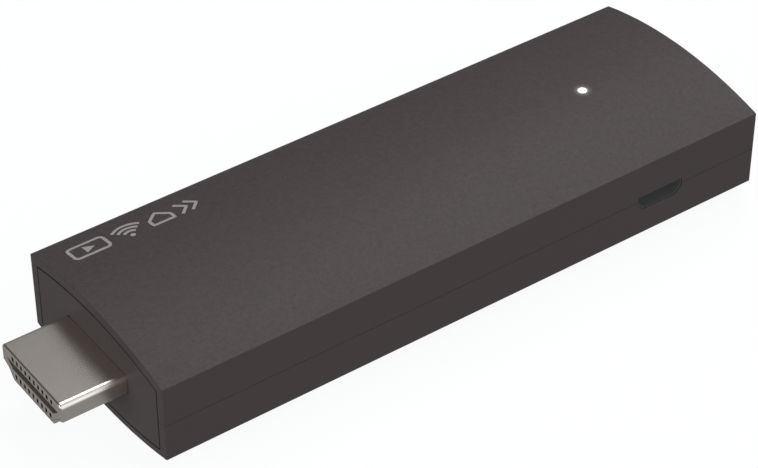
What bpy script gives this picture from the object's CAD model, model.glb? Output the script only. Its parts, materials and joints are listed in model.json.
"""Looks of the streaming stick: materials, printed mark, lights, floor and camera."""

import json
import math

import bpy
from mathutils import Matrix, Vector


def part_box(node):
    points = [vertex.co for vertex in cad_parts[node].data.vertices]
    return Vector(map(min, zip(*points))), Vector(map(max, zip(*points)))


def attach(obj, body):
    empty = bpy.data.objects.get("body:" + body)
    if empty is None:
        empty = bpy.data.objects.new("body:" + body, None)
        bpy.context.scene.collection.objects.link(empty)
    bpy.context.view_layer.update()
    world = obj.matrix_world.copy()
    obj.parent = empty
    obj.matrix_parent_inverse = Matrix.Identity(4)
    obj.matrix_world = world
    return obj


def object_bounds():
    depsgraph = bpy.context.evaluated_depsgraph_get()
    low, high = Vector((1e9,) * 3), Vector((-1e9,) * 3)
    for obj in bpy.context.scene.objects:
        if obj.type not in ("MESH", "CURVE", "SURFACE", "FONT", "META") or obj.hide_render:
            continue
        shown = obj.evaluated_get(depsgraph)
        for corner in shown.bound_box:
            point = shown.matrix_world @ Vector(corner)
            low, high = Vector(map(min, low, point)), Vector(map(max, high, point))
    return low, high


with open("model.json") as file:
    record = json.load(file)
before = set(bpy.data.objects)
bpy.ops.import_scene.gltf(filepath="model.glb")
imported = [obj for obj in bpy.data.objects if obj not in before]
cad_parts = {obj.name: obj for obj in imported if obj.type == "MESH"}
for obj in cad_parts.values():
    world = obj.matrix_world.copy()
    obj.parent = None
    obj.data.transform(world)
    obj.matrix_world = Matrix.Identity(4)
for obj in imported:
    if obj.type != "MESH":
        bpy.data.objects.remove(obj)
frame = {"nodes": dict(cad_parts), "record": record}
cad_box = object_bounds()

MM = 0.001
SCENE = bpy.context.scene
ROOT = "root"

# colours are linear, sizes are in metres
CASE = (0.0980, 0.0802, 0.0797)
CASE_ROUGHNESS = 0.5
CASE_SPECULAR = 0.28
PLASTIC_IOR = 1.49
GRAIN = 0.28 * MM
GRAIN_DEPTH = 0.016 * MM
SPECKLE = 0.14
PLUG = (0.92, 0.86, 0.80)
INSULATOR = (0.42, 0.38, 0.345)
INK = (0.52, 0.50, 0.49)
BLACK = (0.0, 0.0, 0.0)
WHITE = (1.0, 1.0, 1.0)

# the indicator: its place along the stick, its size and the glow round it
pipe_low, pipe_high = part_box("light_pipe")
LAMP_PLACE = (pipe_low.x + pipe_high.x) / 2
LAMP_RADIUS = 0.6 * MM
LAMP_STRENGTH = 3.0
LAMP_RIM = 0.3
HALO = 0.3

# the plug's insulator: its openings are darker than its slot
PLUG_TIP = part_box("hdmi_shell")[0].x
SLOT_LEVEL = 7.0 * MM
SLOT_HALF_HEIGHT = 0.55 * MM
DARKER_FROM = 0.06 * MM
DARKEST_AT = 0.14 * MM
SLOT_SHARE = 0.7
OPENING_SHARE = 0.06

# how much of the small sockets' colour comes back as light lost between their walls
SOCKET_BOUNCE = 0.42


# ---------------------------------------------------------------- node tools

def scaled(colour, factor):
    return tuple(channel * factor for channel in colour)


class Nodes:
    """A material's node tree with short calls for adding and linking nodes."""

    def __init__(self, name):
        self.material = bpy.data.materials.new(name)
        self.material.use_nodes = True
        self.tree = self.material.node_tree
        self.shader = self.tree.nodes["Principled BSDF"]
        self.place = self.add("ShaderNodeNewGeometry").outputs["Position"]

    def add(self, kind, **settings):
        node = self.tree.nodes.new(kind)
        for key, value in settings.items():
            setattr(node, key, value)
        return node

    def link(self, source, target):
        self.tree.links.new(source, target)

    def feed(self, source, socket):
        """Link a source to one of the shader's inputs."""
        self.link(source, self.shader.inputs[socket])

    def set(self, **values):
        for key, value in values.items():
            self.shader.inputs[key.replace("_", " ")].default_value = value

    def noise(self, size, detail=2.0, roughness=0.5):
        """Noise whose blobs are about size metres across."""
        node = self.add("ShaderNodeTexNoise")
        node.inputs["Scale"].default_value = 1.0 / size
        node.inputs["Detail"].default_value = detail
        node.inputs["Roughness"].default_value = roughness
        self.link(self.place, node.inputs["Vector"])
        return node.outputs["Fac"]

    def ramp(self, factor, *stops):
        """Colour ramp from (position, colour) stops."""
        node = self.add("ShaderNodeValToRGB")
        elements = node.color_ramp.elements
        while len(elements) < len(stops):
            elements.new(0.5)
        for element, (position, colour) in zip(elements, stops):
            element.position = position
            element.color = (*colour, 1.0)
        self.link(factor, node.inputs["Fac"])
        return node.outputs["Color"]

    def varied(self, factor, colour, share, low=0.3):
        """A colour that a factor makes darker or lighter by a share, with even ends past low."""
        return self.ramp(factor, (low, scaled(colour, 1 - share)), (1 - low, scaled(colour, 1 + share)))

    def math(self, operation, source, amount=None):
        node = self.add("ShaderNodeMath", operation=operation)
        self.link(source, node.inputs[0])
        if amount is not None:
            node.inputs[1].default_value = amount
        return node.outputs["Value"]

    def step(self, source, start, end):
        """Rise from 0 to 1 as a source goes from start to end."""
        node = self.add("ShaderNodeMapRange")
        node.inputs["From Min"].default_value = start
        node.inputs["From Max"].default_value = end
        self.link(source, node.inputs["Value"])
        return node.outputs["Result"]

    def about(self, factor, middle, reach):
        """Map a 0 to 1 factor to a value within reach of the middle."""
        node = self.add("ShaderNodeMapRange")
        node.inputs["To Min"].default_value = middle - reach
        node.inputs["To Max"].default_value = middle + reach
        self.link(factor, node.inputs["Value"])
        return node.outputs["Result"]

    def split(self, vector):
        node = self.add("ShaderNodeSeparateXYZ")
        self.link(vector, node.inputs["Vector"])
        return node.outputs

    def from_lamp(self, *stops):
        """Colour by distance from the lamp's upright axis, from (distance, colour) stops."""
        away = self.add("ShaderNodeVectorMath", operation="SUBTRACT")
        self.link(self.place, away.inputs[0])
        away.inputs[1].default_value = (LAMP_PLACE, 0, 0)
        flat = self.add("ShaderNodeVectorMath", operation="MULTIPLY")
        self.link(away.outputs["Vector"], flat.inputs[0])
        flat.inputs[1].default_value = (1, 1, 0)
        length = self.add("ShaderNodeVectorMath", operation="LENGTH")
        self.link(flat.outputs["Vector"], length.inputs[0])
        far = stops[-1][0]
        share = self.math("DIVIDE", length.outputs["Value"], far)
        return self.ramp(share, *((distance / far, colour) for distance, colour in stops))

    def bump(self, *layers):
        """Stack bumps of (height factor, depth in metres, strength)."""
        normal = None
        for height, depth, strength in layers:
            node = self.add("ShaderNodeBump")
            node.inputs["Distance"].default_value = depth
            node.inputs["Strength"].default_value = strength
            self.link(height, node.inputs["Height"])
            if normal is not None:
                self.link(normal, node.inputs["Normal"])
            normal = node.outputs["Normal"]
        self.feed(normal, "Normal")


# ----------------------------------------------------------------- materials

def moulded(name, colour, roughness, grain, depth, speckle=0.06, specular=0.3, bounce=0.0):
    """Moulded plastic with a fine grain and a faint broad mottle."""
    nodes = Nodes(name)
    fine = nodes.noise(grain, 3.0, 0.6)
    broad = nodes.noise(grain * 60)
    tint = nodes.varied(fine, colour, speckle)
    nodes.feed(tint, "Base Color")
    nodes.feed(nodes.about(broad, roughness, 0.03), "Roughness")
    nodes.bump((fine, depth, 0.5), (broad, depth * 0.5, 0.2))
    nodes.set(IOR=PLASTIC_IOR, Specular_IOR_Level=specular)
    if bounce:
        nodes.feed(tint, "Emission Color")
        nodes.set(Emission_Strength=bounce)
    return nodes.material


def crown_mask(nodes):
    """1 on the crowned faces, 0 on the upright faces."""
    facing = nodes.add("ShaderNodeNewGeometry").outputs["Normal"]
    return nodes.step(nodes.math("ABSOLUTE", nodes.split(facing)["Z"]), 0.4, 0.8)


def mixed(nodes, factor, first, second):
    """Blend two values by a factor; the factor and the first value may be plain numbers."""
    node = nodes.add("ShaderNodeMix", data_type="FLOAT")
    for socket, source in (("Factor", factor), ("A", first), ("B", second)):
        if isinstance(source, float):
            node.inputs[socket].default_value = source
        else:
            nodes.link(source, node.inputs[socket])
    return node.outputs["Result"]


def grained_case(name):
    """Case plastic: grain on the crowned faces, smooth upright faces, a halo round the lamp."""
    nodes = Nodes(name)
    mask = crown_mask(nodes)
    fine = nodes.noise(GRAIN, 2.0, 0.7)
    coarse = nodes.noise(GRAIN * 2.6)
    grain = mixed(nodes, mask, 0.5, mixed(nodes, 0.35, fine, coarse))
    nodes.feed(nodes.varied(grain, CASE, SPECKLE, 0.36), "Base Color")
    broad = nodes.noise(9 * MM)
    nodes.feed(nodes.about(broad, CASE_ROUGHNESS, 0.03), "Roughness")
    nodes.bump((grain, GRAIN_DEPTH, 0.6), (broad, 0.01 * MM, 0.15))
    halo = nodes.from_lamp(
        (LAMP_RADIUS, scaled(WHITE, HALO)),
        (LAMP_RADIUS * 1.4, scaled(WHITE, HALO * 0.25)),
        (LAMP_RADIUS * 2.2, BLACK),
    )
    nodes.feed(halo, "Emission Color")
    nodes.set(IOR=PLASTIC_IOR, Specular_IOR_Level=CASE_SPECULAR, Emission_Strength=1.0)
    return nodes.material


def plated(name, colour, roughness):
    """Plated sheet steel, drawn along the stick."""
    nodes = Nodes(name)
    stretch = nodes.add("ShaderNodeMapping")
    stretch.inputs["Scale"].default_value = (0.05, 1.0, 1.0)
    nodes.link(nodes.place, stretch.inputs["Vector"])
    nodes.place = stretch.outputs["Vector"]
    lines = nodes.noise(0.2 * MM, 3.0, 0.6)
    nodes.feed(nodes.varied(lines, colour, 0.015, 0.2), "Base Color")
    nodes.feed(nodes.about(lines, roughness, 0.015), "Roughness")
    nodes.bump((lines, 0.0005 * MM, 0.2))
    nodes.set(Metallic=1.0)
    return nodes.material


def glowing(name):
    """The end of the light pipe, lit from below and dimmer towards its rim."""
    nodes = Nodes(name)
    cloud = nodes.noise(0.4 * MM)
    nodes.feed(nodes.ramp(cloud, (0.2, (0.96, 0.96, 0.97)), (0.8, WHITE)), "Base Color")
    rim = scaled(WHITE, LAMP_RIM / LAMP_STRENGTH)
    nodes.feed(nodes.from_lamp((LAMP_RADIUS * 0.6, WHITE), (LAMP_RADIUS, rim)), "Emission Color")
    nodes.set(Emission_Strength=LAMP_STRENGTH, Roughness=0.25)
    return nodes.material


def plug_insulator(name):
    """Plug insulator: pale front, dark inside its slot and darker inside its openings."""
    nodes = Nodes(name)
    place = nodes.split(nodes.place)
    depth = nodes.step(place["X"], PLUG_TIP + DARKER_FROM, PLUG_TIP + DARKEST_AT)
    fine = nodes.noise(0.2 * MM)
    pale = nodes.varied(fine, INSULATOR, 0.03)
    height = nodes.math("ABSOLUTE", nodes.math("SUBTRACT", place["Z"], SLOT_LEVEL))
    outside = nodes.step(height, SLOT_HALF_HEIGHT, SLOT_HALF_HEIGHT + 0.1 * MM)
    deep = nodes.ramp(outside, (0.0, scaled(INSULATOR, SLOT_SHARE)),
                      (1.0, scaled(INSULATOR, OPENING_SHARE)))
    blend = nodes.add("ShaderNodeMix", data_type="RGBA")
    nodes.link(depth, blend.inputs["Factor"])
    colour_sockets = [socket for socket in blend.inputs if socket.type == "RGBA"]
    nodes.link(pale, colour_sockets[0])
    nodes.link(deep, colour_sockets[1])
    result = next(socket for socket in blend.outputs if socket.type == "RGBA")
    nodes.feed(result, "Base Color")
    nodes.bump((fine, 0.003 * MM, 0.3))
    nodes.set(Roughness=0.4)
    return nodes.material


# plastics and coatings: colour, roughness, grain size and depth in mm
MOULDED = {
    "board_laminate": ((0.01, 0.07, 0.035), 0.35, 0.5, 0.01),
    "chip_resin": ((0.02, 0.02, 0.022), 0.5, 0.1, 0.005),
    "small_ceramic": ((0.32, 0.24, 0.16), 0.5, 0.2, 0.004),
    "thermal_silicone": ((0.35, 0.42, 0.55), 0.8, 0.3, 0.02),
    "led_lens": ((0.85, 0.85, 0.7), 0.3, 0.3, 0.003),
    "coil_ferrite": ((0.06, 0.06, 0.06), 0.6, 0.1, 0.01),
}
# socket parts are dark and evenly lit inside
SOCKET = {
    "socket_steel": ((0.045, 0.05, 0.047), 0.5, 0.1, 0.002),
    "socket_plastic": ((0.05, 0.053, 0.05), 0.5, 0.1, 0.004),
}
# metals: colour and roughness
PLATED = {
    "plug_steel": (PLUG, 0.25),
    "contact_gold": ((0.85, 0.62, 0.28), 0.25),
    "shield_tin": ((0.62, 0.62, 0.6), 0.35),
    "spreader_aluminium": ((0.7, 0.7, 0.71), 0.4),
    "crystal_can": ((0.62, 0.62, 0.6), 0.3),
    "screw_steel": ((0.5, 0.5, 0.5), 0.35),
    "antenna_tin": ((0.66, 0.63, 0.56), 0.35),
}

materials = {
    "case_plastic": grained_case("case_plastic"),
    "end_cap_plastic": moulded("end_cap_plastic", CASE, CASE_ROUGHNESS, 0.12 * MM, 0.004 * MM,
                               0.03, CASE_SPECULAR),
    "insulator_plastic": plug_insulator("insulator_plastic"),
    "light_pipe_clear": glowing("light_pipe_clear"),
}
for slot, (colour, roughness) in PLATED.items():
    materials[slot] = plated(slot, colour, roughness)
for table, bounce in ((MOULDED, 0.0), (SOCKET, SOCKET_BOUNCE)):
    for slot, (colour, roughness, grain, depth) in table.items():
        materials[slot] = moulded(slot, colour, roughness, grain * MM, depth * MM, bounce=bounce)

for entry in frame["record"]["subparts"]:
    mesh = frame["nodes"][entry["node"]].data
    mesh.materials.clear()
    mesh.materials.append(materials[entry["material_slot"]])


# -------------------------------------------------------------- printed mark
# plan sizes in this part are in millimetres

HALF_WIDTH = 15.0
CROWN_RISE = 1.95
TOP = 14.9
CROWN_RADIUS = (HALF_WIDTH**2 + CROWN_RISE**2) / (2 * CROWN_RISE)
INK_STROKE = 0.42
INK_THICK = 0.02
STEP = 0.3

MARK_LEFT = -37.3
MARK_LOW = 9.4
MARK_HIGH = 12.15
MARK_MIDDLE = (MARK_LOW + MARK_HIGH) / 2
SCREEN_WIDTH = 4.9
SCREEN_CORNER = 0.55
PLAY_START = 1.85
PLAY_END = 3.3
PLAY_HALF = 0.8
FAN_PLACE = -29.3
FAN_RADII = (1.15, 1.95, 2.75)
FAN_DOT = 0.34
HOUSE_LEFT = -26.3
HOUSE_RIGHT = -23.3
HOUSE_EAVES = MARK_LOW + 1.35
CHEVRONS = (-22.2, -20.75)
CHEVRON_WIDTH = 1.25


def on_top(x, y):
    """A point just over the crowned top, in metres, from millimetres in plan."""
    height = TOP - CROWN_RADIUS + math.sqrt(CROWN_RADIUS**2 - y**2)
    return Vector((x, y, height + INK_THICK)) * MM


def arc(x, y, radius, start, end, count=14):
    """Points along part of a circle, with angles in degrees."""
    angles = [math.radians(start + (end - start) * i / count) for i in range(count + 1)]
    return [(x + radius * math.cos(a), y + radius * math.sin(a)) for a in angles]


def divided(path, closed):
    """Add points along a path so that it can follow the crown."""
    ends = path[1:] + path[:1] if closed else path[1:]
    points = []
    for (x0, y0), (x1, y1) in zip(path, ends):
        count = max(1, math.ceil(math.hypot(x1 - x0, y1 - y0) / STEP))
        points += [(x0 + (x1 - x0) * i / count, y0 + (y1 - y0) * i / count) for i in range(count)]
    return points if closed else points + [path[-1]]


class Ink:
    """Vertices and faces of the print."""

    def __init__(self):
        self.verts = []
        self.faces = []

    def fill(self, points):
        first = len(self.verts)
        self.verts += [on_top(*point) for point in points]
        self.faces.append(tuple(range(first, len(self.verts))))

    def stroke(self, path, closed=False):
        """Add one ribbon of ink along a path."""
        points = divided(path, closed)
        count, first = len(points), len(self.verts)
        for index, (x, y) in enumerate(points):
            before = points[index - 1] if closed or index else points[index]
            after = points[(index + 1) % count] if closed or index + 1 < count else points[index]
            direction = Vector((after[0] - before[0], after[1] - before[1])).normalized()
            side = Vector((-direction.y, direction.x)) * INK_STROKE / 2
            self.verts += [on_top(x + side.x, y + side.y), on_top(x - side.x, y - side.y)]
        for index in range(count if closed else count - 1):
            a, b = first + 2 * index, first + 2 * ((index + 1) % count)
            self.faces.append((a, a + 1, b + 1, b))


def screen_outline():
    """Rounded rectangle, clockwise from its upper right corner."""
    left, right = MARK_LEFT + SCREEN_CORNER, MARK_LEFT + SCREEN_WIDTH - SCREEN_CORNER
    low, high = MARK_LOW + SCREEN_CORNER, MARK_HIGH - SCREEN_CORNER
    corners = ((right, high, 90), (right, low, 0), (left, low, -90), (left, high, 180))
    return [point for x, y, start in corners
            for point in arc(x, y, SCREEN_CORNER, start, start - 90, 4)]


def printed_mark():
    """Plain pictograms: a screen with a play sign, a wireless sign, a house and two chevrons."""
    ink = Ink()
    ink.stroke(screen_outline(), closed=True)
    ink.fill([(MARK_LEFT + PLAY_START, MARK_MIDDLE - PLAY_HALF), (MARK_LEFT + PLAY_END, MARK_MIDDLE),
              (MARK_LEFT + PLAY_START, MARK_MIDDLE + PLAY_HALF)])
    fan_low = MARK_LOW + 0.1
    for radius in FAN_RADII:
        ink.stroke(arc(FAN_PLACE, fan_low, radius, 135, 45))
    ink.fill(arc(FAN_PLACE, fan_low + 0.1, FAN_DOT, 0, 337.5, 15))
    house_low = MARK_LOW + 0.2
    ridge = ((HOUSE_LEFT + HOUSE_RIGHT) / 2, MARK_HIGH)
    ink.stroke([(HOUSE_LEFT, house_low), (HOUSE_RIGHT, house_low), (HOUSE_RIGHT, HOUSE_EAVES),
                ridge, (HOUSE_LEFT, HOUSE_EAVES)], closed=True)
    for x in CHEVRONS:
        ink.stroke([(x, MARK_HIGH - 0.1), (x + CHEVRON_WIDTH, MARK_MIDDLE), (x, MARK_LOW + 0.1)])
    mesh = bpy.data.meshes.new("printed_mark")
    mesh.from_pydata(ink.verts, [], ink.faces)
    mesh.update()
    mark = bpy.data.objects.new("printed_mark", mesh)
    SCENE.collection.objects.link(mark)
    solid = mark.modifiers.new("thickness", "SOLIDIFY")
    solid.thickness = INK_THICK * MM
    solid.offset = -1.0
    mark.data.materials.append(moulded("mark_ink", INK, 0.5, 0.1 * MM, 0.002 * MM, 0.04))
    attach(mark, ROOT)


printed_mark()


# --------------------------------------------------------------------- stage

FLOOR = (0.97, 0.975, 0.98)
FLOOR_GLOW = 0.955
FLOOR_SHARE = 0.12
FLOOR_SIZE = 6.0
FLOOR_GAP = 0.0002


def pale_floor(name):
    """White floor that glows evenly, so that only a faint contact shadow is left."""
    nodes = Nodes(name)
    cloud = nodes.noise(0.2)
    glow = nodes.ramp(cloud, (0.2, scaled(FLOOR, 0.995)), (0.8, FLOOR))
    tint = nodes.ramp(cloud, (0.2, scaled(FLOOR, FLOOR_SHARE * 0.99)), (0.8, scaled(FLOOR, FLOOR_SHARE)))
    nodes.feed(tint, "Base Color")
    nodes.feed(glow, "Emission Color")
    nodes.set(Roughness=0.9, Emission_Strength=FLOOR_GLOW, Specular_IOR_Level=0.0)
    return nodes.material


bpy.ops.mesh.primitive_plane_add(size=FLOOR_SIZE, location=(0, 0, cad_box[0][2] - FLOOR_GAP))
floor = bpy.context.active_object
floor.name = "floor"
floor.data.materials.append(pale_floor("floor_white"))
floor.visible_diffuse = False
floor.visible_glossy = False

# room brightness towards the plug's end, the far end, the near side and the floor
ROOM_DARK = 0.05
ROOM_BRIGHT = 0.18
ROOM_FRONT = 0.26
ROOM_BELOW = 0.25


def room_light():
    """Even room light that changes smoothly with direction."""
    world = bpy.data.worlds.new("studio")
    SCENE.world = world
    world.use_nodes = True
    tree = world.node_tree
    place = tree.nodes.new("ShaderNodeTexCoord")
    split = tree.nodes.new("ShaderNodeSeparateXYZ")
    tree.links.new(place.outputs["Generated"], split.inputs["Vector"])

    def smooth(axis, start, end, low, high):
        node = tree.nodes.new("ShaderNodeMapRange")
        node.interpolation_type = "SMOOTHSTEP"
        node.inputs["From Min"].default_value = start
        node.inputs["From Max"].default_value = end
        node.inputs["To Min"].default_value = low
        node.inputs["To Max"].default_value = high
        tree.links.new(split.outputs[axis], node.inputs["Value"])
        return node

    along = smooth("X", -0.6, 0.4, ROOM_DARK, ROOM_BRIGHT)
    front = smooth("Y", -0.05, -0.75, 0.0, ROOM_FRONT)
    above = tree.nodes.new("ShaderNodeMath")
    tree.links.new(along.outputs["Result"], above.inputs[0])
    tree.links.new(front.outputs["Result"], above.inputs[1])
    below = smooth("Z", -0.05, -0.45, 0.0, ROOM_BELOW)
    tree.links.new(above.outputs["Value"], below.inputs["To Min"])
    background = tree.nodes["Background"]
    background.inputs["Color"].default_value = (1, 1, 1, 1)
    tree.links.new(below.outputs["Result"], background.inputs["Strength"])


room_light()


# -------------------------------------------------------------------- camera

AZIMUTH = math.radians(-35.679)
ELEVATION = math.radians(38.574)
AIM_OFFSET = Vector((3.415, 2.651, 2.214)) * MM
CAMERA_DISTANCE = 342.7 * MM

back = Vector((math.sin(AZIMUTH) * math.cos(ELEVATION),
               -math.cos(AZIMUTH) * math.cos(ELEVATION), math.sin(ELEVATION)))
right = Vector((math.cos(AZIMUTH), math.sin(AZIMUTH), 0))
up = back.cross(right)
target = (Vector(cad_box[0]) + Vector(cad_box[1])) / 2 + AIM_OFFSET
camera = bpy.data.objects.new("camera", bpy.data.cameras.new("camera"))
SCENE.collection.objects.link(camera)
axes = Matrix((right, up, back)).transposed()
camera.matrix_world = Matrix.Translation(target + back * CAMERA_DISTANCE) @ axes.to_4x4()
camera.data.sensor_width = 36.0
camera.data.lens = 129.1
camera.data.shift_x = -0.0092
camera.data.shift_y = -0.0525
camera.data.clip_start = 0.01
SCENE.camera = camera


# -------------------------------------------------------------------- lights
# bearing from +X and height above the floor in degrees, power in watts, width in metres

LIGHTS = {
    "left_low": (180, 12, 2.35, 0.5),
    "front_low": (270, 20, 0.66, 0.9),
    "front_right": (306.2, 39.4, 0.95, 1.1),
    "front_spark": (306.2, 39.4, 0.16, 0.16),
    "back_high": (30, 60, 1.66, 0.5),
    "back_middle": (30, 40, 0.37, 0.5),
}
LIGHT_DISTANCE = 0.8


def softbox(name, bearing, height, power, width):
    """A round softbox aimed at the object."""
    bearing, height = math.radians(bearing), math.radians(height)
    level = math.cos(height)
    away = Vector((level * math.cos(bearing), level * math.sin(bearing), math.sin(height)))
    data = bpy.data.lights.new(name, "AREA")
    data.shape = "DISK"
    data.size = width
    data.energy = power
    light = bpy.data.objects.new(name, data)
    light.location = away * LIGHT_DISTANCE
    light.rotation_euler = (-away).to_track_quat("-Z", "Y").to_euler()
    SCENE.collection.objects.link(light)


for name, settings in LIGHTS.items():
    softbox(name, *settings)

SCENE.view_settings.view_transform = "Standard"
